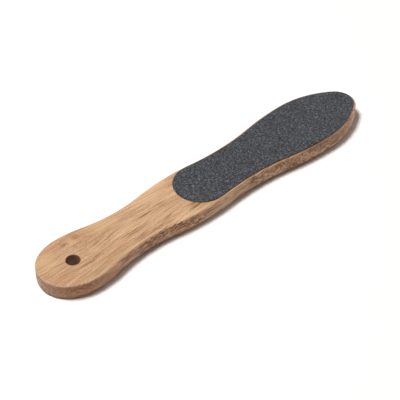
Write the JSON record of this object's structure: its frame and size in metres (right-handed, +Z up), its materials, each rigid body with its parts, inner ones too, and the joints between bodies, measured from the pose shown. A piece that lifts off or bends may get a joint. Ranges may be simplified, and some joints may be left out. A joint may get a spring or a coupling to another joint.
{
  "type": "foot file",
  "caption": "Flat wooden paddle with a rounded grip, a hanging hole and a waisted blade that carries a glued coarse abrasive sheet on top and a fine one underneath.",
  "frame": {"origin": "on the surface that the file lies on, under the middle of its length and width", "axes": "+X along the file from the grip's round end to the tip of the blade, +Y across the file, +Z up through its thickness, out of the coarse sheet"},
  "size_m": [0.24, 0.043, 0.0107],
  "materials": {
    "hardwood": "smooth sanded and lightly oiled",
    "glue": "dried contact glue",
    "cloth_backing": "resin-sized cotton cloth",
    "coarse_abrasive": "coarse silicon carbide grit in dark resin",
    "fine_abrasive": "fine silicon carbide grit in dark resin"
  },
  "bodies": {
    "root": {"wood_paddle": "hardwood", "coarse_glue": "glue", "coarse_backing": "cloth_backing", "coarse_grit": "coarse_abrasive", "fine_glue": "glue", "fine_backing": "cloth_backing", "fine_grit": "fine_abrasive"}
  },
  "joints": []
}
